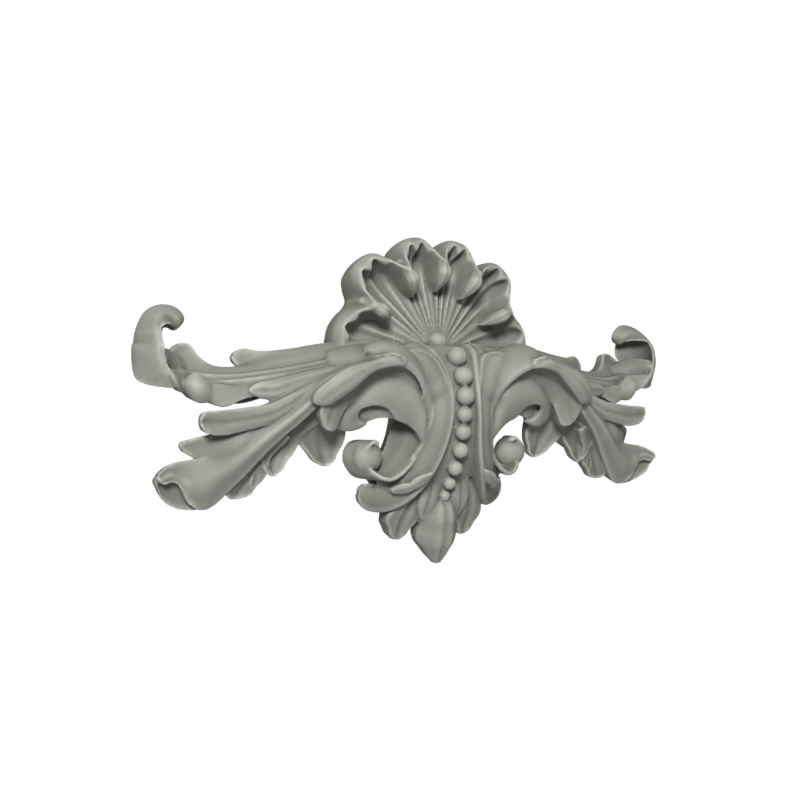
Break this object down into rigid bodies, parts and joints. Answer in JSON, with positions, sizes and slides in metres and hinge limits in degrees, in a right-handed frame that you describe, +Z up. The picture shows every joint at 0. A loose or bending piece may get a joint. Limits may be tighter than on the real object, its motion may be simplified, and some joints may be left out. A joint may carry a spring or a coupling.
{
  "type": "panel ornament",
  "caption": "Rococo panel ornament: a scalloped shell over a string of beads, with C-scrolls, acanthus wings that end in curls, and pendant leaves, in matt grey",
  "frame": {"origin": "On the flat back of the ornament, in its middle plane, level with the upper scrolls", "axes": "X to the right along the wall, Y into the wall, Z up; the ornament stands off the wall towards -Y"},
  "size_m": [0.356, 0.063, 0.192],
  "materials": {
    "primed_resin": "matt grey-green primer on cast resin"
  },
  "bodies": {
    "root": {"carved_ornament": "primed_resin"}
  },
  "joints": []
}
